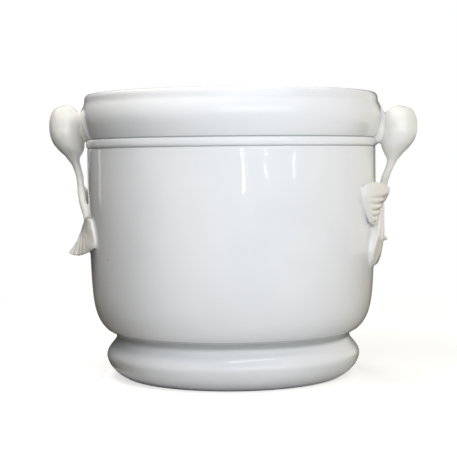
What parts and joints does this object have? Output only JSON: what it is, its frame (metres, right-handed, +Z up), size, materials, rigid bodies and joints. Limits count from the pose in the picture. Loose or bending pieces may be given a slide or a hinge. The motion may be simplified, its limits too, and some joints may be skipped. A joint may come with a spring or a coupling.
{
  "type": "porcelain cachepot planter",
  "caption": "Round glazed porcelain cachepot on a ring foot, with a swelling collar under the lip and two twig-shaped handles with bud and leaves.",
  "frame": {"origin": "centre of the ring that the foot stands on", "axes": "+Z up along the pot's axis, +X towards one handle, -X towards the other"},
  "size_m": [0.2588, 0.2096, 0.196],
  "materials": {
    "body_glaze": "glossy transparent glaze over cool white porcelain",
    "handle_glaze": "glossy glaze, a little thicker and warmer where it pools round the applied leaves"
  },
  "bodies": {
    "root": {"vessel_body": "body_glaze", "foot_ring": "body_glaze", "collar_band": "body_glaze", "rim_collar": "body_glaze", "right_bulb": "handle_glaze", "right_bulb_pad": "handle_glaze", "right_stem": "handle_glaze", "right_branch_end": "handle_glaze", "right_lower_leaf": "handle_glaze", "right_upper_leaf": "handle_glaze", "left_bulb": "handle_glaze", "left_bulb_pad": "handle_glaze", "left_stem": "handle_glaze", "left_branch_end": "handle_glaze", "left_lower_leaf": "handle_glaze", "left_upper_leaf": "handle_glaze"}
  },
  "joints": []
}
